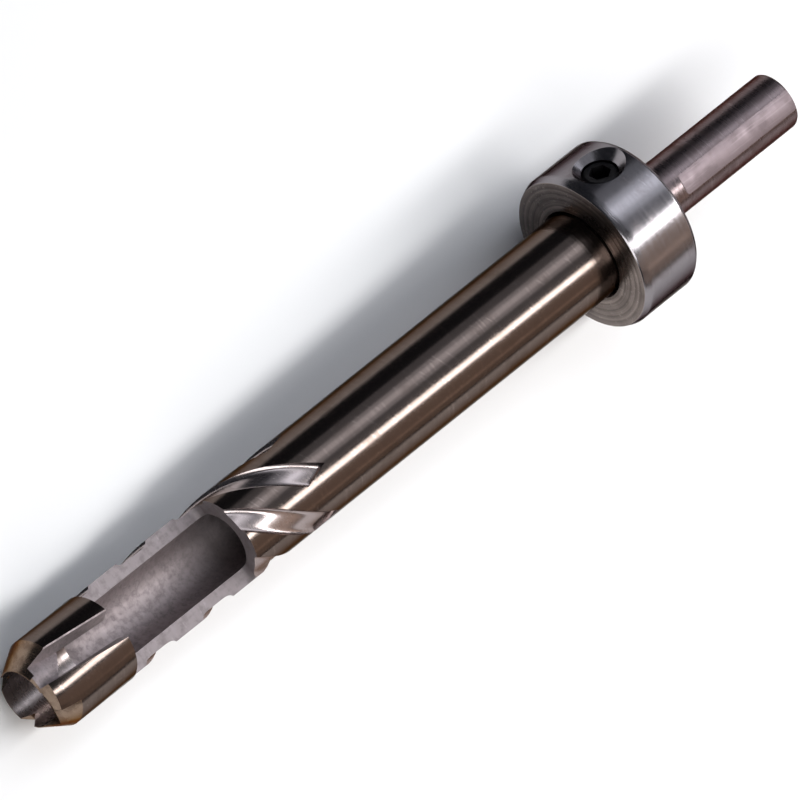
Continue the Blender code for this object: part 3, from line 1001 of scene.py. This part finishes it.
def place_camera():
    """Makes the scene's camera, with a lens long enough for the photo's near-parallel edges."""
    right, up, back = camera_axes()
    data = bpy.data.cameras.new("camera")
    data.sensor_width = SENSOR
    data.lens = SENSOR * CAMERA_DISTANCE / VIEW_WIDTH
    data.clip_start = 0.01
    data.clip_end = 100.0
    camera = bpy.data.objects.new("camera", data)
    bpy.context.scene.collection.objects.link(camera)
    turn = Matrix((right, up, back)).transposed().to_4x4()
    turn.translation = Vector((VIEW_MIDDLE, 0.0, 0.0)) + back * CAMERA_DISTANCE
    camera.matrix_world = REST @ turn
    bpy.context.scene.camera = camera


def soft_lamp(name, direction, distance, size, power, color=(1.0, 1.0, 1.0)):
    """A soft box that faces the middle of the tool, its long side along the tool."""
    data = bpy.data.lights.new(name, "AREA")
    data.shape = "RECTANGLE"
    data.size, data.size_y = size
    data.energy = power
    data.color = color
    lamp = bpy.data.objects.new(name, data)
    bpy.context.scene.collection.objects.link(lamp)
    back = direction.normalized()
    side = Vector((1.0, 0.0, 0.0))
    side = (side - back * side.dot(back)).normalized()
    turn = Matrix((side, back.cross(side), back)).transposed().to_4x4()
    turn.translation = Vector((VIEW_MIDDLE, 0.0, 0.0)) + back * distance
    lamp.matrix_world = REST @ turn


def seen_from_barrel(degrees):
    """Where the barrel, seen by the camera at an angle round its axis, mirrors the room."""
    lean = math.radians(CAMERA_LEAN)
    ring = around(math.cos(lean), 2 * degrees)
    return Vector((math.sin(lean), ring.y, ring.z))


COOL = (0.88, 0.92, 1.0)
WARM = (1.0, 0.74, 0.58)
# Each lamp: where the barrel mirrors it, its distance, its length and width, its power and its colour
LAMPS = {
    "strip_lamp": (15.0, 0.45, (0.80, 0.075), 2.3, (1.0, 1.0, 1.0)),
    "top_lamp_0": (-8.5, 0.50, (0.80, 0.10), 0.26, COOL),
    "top_lamp_1": (-8.5, 0.505, (0.80, 0.24), 0.50, COOL),
    "top_lamp_2": (-8.5, 0.51, (0.80, 0.60), 0.46, COOL),
    "warm_lamp": (28.0, 0.50, (0.80, 0.26), 0.34, WARM),
    "low_warm_lamp": (39.0, 0.50, (0.80, 0.15), 0.16, WARM),
}
SOFT_BOX = ((-0.52, -0.48, 0.71), 0.90, (0.50, 0.50), 3.6)   # towards it, its distance, size and power


class OBJECT_OT_plug_cutter_stage(bpy.types.Operator):
    """Lays the floor and sets the lamps and the camera"""
    bl_idname = "object.plug_cutter_stage"
    bl_label = "Studio"

    def execute(self, context):
        looks = context.scene.plug_cutter_studio
        bpy.ops.object.select_all(action="DESELECT")
        bpy.ops.mesh.primitive_plane_add(size=FLOOR_SIZE)
        floor = name_piece("floor")
        material = bpy.data.materials.new("pale_floor")
        material.use_nodes = True
        shader = material.node_tree.nodes["Principled BSDF"]
        shader.inputs["Base Color"].default_value = (*looks.floor_color, 1.0)
        shader.inputs["Roughness"].default_value = 0.9
        shader.inputs["Specular IOR Level"].default_value = 0.1
        floor.data.materials.append(material)
        for name, (degrees, *setting) in LAMPS.items():
            soft_lamp(name, seen_from_barrel(degrees), *setting)
        direction, *setting = SOFT_BOX
        soft_lamp("soft_box", Vector(direction), *setting)
        world = bpy.data.worlds.new("room")
        world.use_nodes = True
        background = world.node_tree.nodes["Background"]
        background.inputs["Color"].default_value = (*looks.sky_color, 1.0)
        background.inputs["Strength"].default_value = looks.sky_level
        context.scene.world = world
        context.scene.view_settings.view_transform = "Standard"
        place_camera()
        return {"FINISHED"}


class VIEW3D_PT_plug_cutter(bpy.types.Panel):
    """Lists the pieces of the plug cutter"""
    bl_idname = "VIEW3D_PT_plug_cutter"
    bl_label = "Plug Cutter"
    bl_space_type = "VIEW_3D"
    bl_region_type = "UI"
    bl_category = "Plug Cutter"

    def draw(self, context):
        layout = self.layout
        for sizes in (context.scene.plug_cutter_sizes, context.scene.stop_collar_sizes,
                      context.scene.plug_cutter_studio):
            column = layout.column()
            for name in sizes.__annotations__:
                column.prop(sizes, name)
        for operator in OPERATORS:
            layout.operator(operator.bl_idname)


OPERATORS = (OBJECT_OT_plug_cutter_body, OBJECT_OT_stop_collar, OBJECT_OT_set_screw,
             OBJECT_OT_plug_cutter_stage)
CLASSES = (PlugCutterSizes, StopCollarSizes, StudioLooks, *OPERATORS, VIEW3D_PT_plug_cutter)


def register():
    for item in CLASSES:
        bpy.utils.register_class(item)
    bpy.types.Scene.plug_cutter_sizes = PointerProperty(type=PlugCutterSizes)
    bpy.types.Scene.stop_collar_sizes = PointerProperty(type=StopCollarSizes)
    bpy.types.Scene.plug_cutter_studio = PointerProperty(type=StudioLooks)


def unregister():
    del bpy.types.Scene.plug_cutter_studio
    del bpy.types.Scene.stop_collar_sizes
    del bpy.types.Scene.plug_cutter_sizes
    for item in reversed(CLASSES):
        bpy.utils.unregister_class(item)


def main():
    register()
    bpy.ops.object.plug_cutter_stage()
    bpy.ops.object.plug_cutter_body()
    bpy.ops.object.stop_collar_piece()
    bpy.ops.object.set_screw_piece()


if __name__ == "__main__":
    main()
